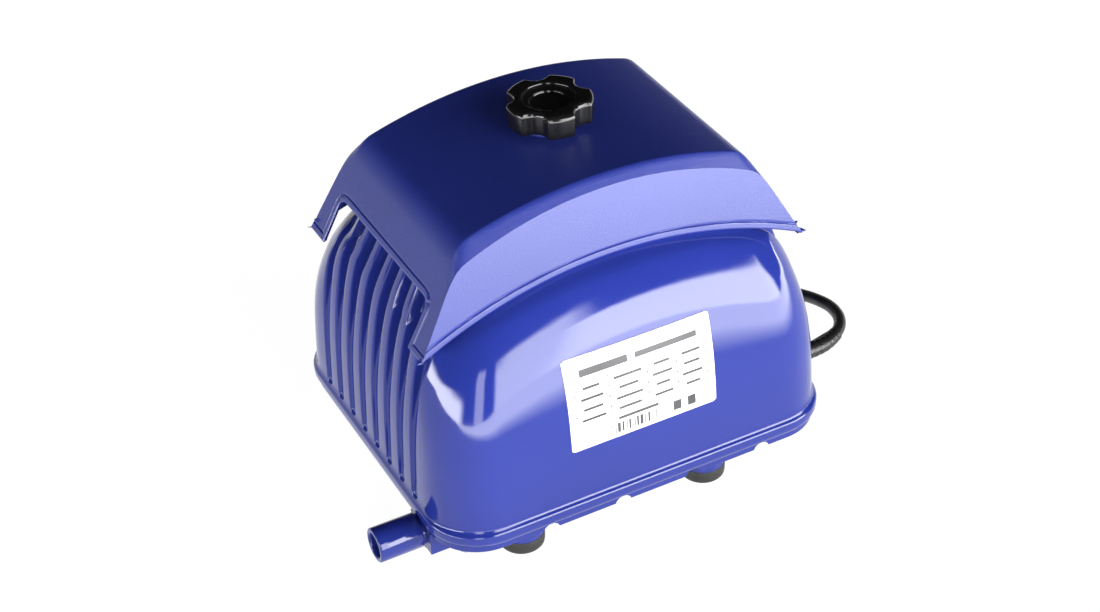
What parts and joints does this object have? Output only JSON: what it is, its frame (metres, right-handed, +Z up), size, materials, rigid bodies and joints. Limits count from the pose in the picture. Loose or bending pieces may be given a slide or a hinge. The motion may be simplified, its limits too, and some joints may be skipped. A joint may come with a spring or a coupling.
{
  "type": "air pump",
  "caption": "Linear diaphragm air pump for ponds and aquariums: ribbed housing on rubber feet, lift-off filter cover with a screw knob, hose outlet and mains lead.",
  "frame": {"origin": "centre of the pump's footprint on the surface it stands on, measured without the mains lead", "axes": "+X along the armature shaft away from the hose outlet, +Y from front to back, +Z up"},
  "size_m": [0.2872, 0.29, 0.1962],
  "materials": {
    "housing_blue": "glossy moulded plastic, royal blue",
    "cover_blue": "satin moulded plastic with a fine grain, royal blue",
    "knob_black": "glossy moulded plastic, black",
    "foot_rubber": "matt black rubber",
    "label_white": "printed white film with plain rules and bars",
    "screw_steel": "zinc plated steel",
    "insert_brass": "turned brass",
    "tray_plastic": "matt moulded plastic, dark grey",
    "foam_grey": "open cell foam, dark grey",
    "drive_alloy": "die cast alloy",
    "core_steel": "stacked silicon steel sheets",
    "bobbin_plastic": "cream moulded nylon",
    "winding_copper": "enamelled copper wire",
    "diaphragm_rubber": "black nitrile rubber",
    "lead_black": "black flexible sheath, slightly glossy",
    "lead_cores": "coloured wire insulation"
  },
  "bodies": {
    "root": {"housing": "housing_blue", "base_tray": "housing_blue", "base_gasket": "foot_rubber", "base_screws": "screw_steel", "outlet_pipe": "housing_blue", "foot_front_left": "foot_rubber", "foot_front_right": "foot_rubber", "foot_rear_left": "foot_rubber", "foot_rear_right": "foot_rubber", "threaded_insert": "insert_brass", "filter_tray": "tray_plastic", "filter_foam": "foam_grey", "rating_label": "label_white", "air_chamber": "tray_plastic", "outlet_elbow": "diaphragm_rubber", "shock_mounts": "foot_rubber", "mount_screws": "screw_steel", "motor_frame": "drive_alloy", "core_brackets": "drive_alloy", "stator_core_front": "core_steel", "stator_core_rear": "core_steel", "bobbin_front": "bobbin_plastic", "bobbin_rear": "bobbin_plastic", "winding_front": "winding_copper", "winding_rear": "winding_copper", "diaphragm_left": "diaphragm_rubber", "diaphragm_right": "diaphragm_rubber", "diaphragm_ring_left": "drive_alloy", "diaphragm_ring_right": "drive_alloy", "head_left": "drive_alloy", "head_right": "drive_alloy", "head_cover_left": "drive_alloy", "head_cover_right": "drive_alloy", "head_screws": "screw_steel", "air_hose_left": "diaphragm_rubber", "air_hose_right": "diaphragm_rubber", "hose_clamps": "screw_steel", "terminal_block": "bobbin_plastic", "inner_leads": "lead_cores", "cord_gland": "lead_black", "cord_sleeve": "lead_black", "mains_cord": "lead_black", "cord_coil": "lead_black", "plug_body": "lead_black", "plug_pins": "screw_steel"},
    "cover": {"top_cover": "cover_blue"},
    "knob_carriage": {"knob_washer": "screw_steel"},
    "knob": {"knob": "knob_black", "knob_stud": "screw_steel"},
    "armature": {"armature_shaft": "screw_steel", "magnet_carrier": "drive_alloy", "armature_magnets": "core_steel", "shaft_nuts": "screw_steel", "clamp_discs": "drive_alloy"},
    "inlet_flap_left": {"inlet_flap_left": "diaphragm_rubber"},
    "inlet_flap_right": {"inlet_flap_right": "diaphragm_rubber"},
    "outlet_flap_left": {"outlet_flap_left": "diaphragm_rubber"},
    "outlet_flap_right": {"outlet_flap_right": "diaphragm_rubber"}
  },
  "joints": [
    {"name": "cover_lift", "type": "slide", "parent": "root", "child": "cover", "axis": [0, 0, 1], "range_m": [0, 0.06]},
    {"name": "knob_rise", "type": "slide", "parent": "cover", "child": "knob_carriage", "axis": [0, 0, 1], "range_m": [0, 0.0088]},
    {"name": "knob_turn", "type": "hinge", "parent": "knob_carriage", "child": "knob", "pos_m": [0.0115, 0, 0.19], "axis": [0, 0, 1], "range_deg": [0, 2520]},
    {"name": "armature_stroke", "type": "slide", "parent": "root", "child": "armature", "axis": [1, 0, 0], "range_m": [-0.0025, 0.0025], "stiffness_N_per_m": 8000, "deforming": ["diaphragm_left", "diaphragm_right"]},
    {"name": "inlet_flap_right_swing", "type": "hinge", "parent": "root", "child": "inlet_flap_right", "pos_m": [0.07655, 0.0135, 0.094], "axis": [0, 1, 0], "range_deg": [0, 12], "stiffness_Nm_per_rad": 0.0002},
    {"name": "outlet_flap_right_swing", "type": "hinge", "parent": "root", "child": "outlet_flap_right", "pos_m": [0.08145, -0.0135, 0.094], "axis": [0, -1, 0], "range_deg": [0, 12], "stiffness_Nm_per_rad": 0.0002},
    {"name": "inlet_flap_left_swing", "type": "hinge", "parent": "root", "child": "inlet_flap_left", "pos_m": [-0.05355, -0.0135, 0.094], "axis": [0, -1, 0], "range_deg": [0, 12], "stiffness_Nm_per_rad": 0.0002},
    {"name": "outlet_flap_left_swing", "type": "hinge", "parent": "root", "child": "outlet_flap_left", "pos_m": [-0.05845, 0.0135, 0.094], "axis": [0, 1, 0], "range_deg": [0, 12], "stiffness_Nm_per_rad": 0.0002}
  ],
  "couplings": [
    {"joint": "knob_rise", "follows": "knob_turn", "m_per_rad": 0.00019894}
  ]
}
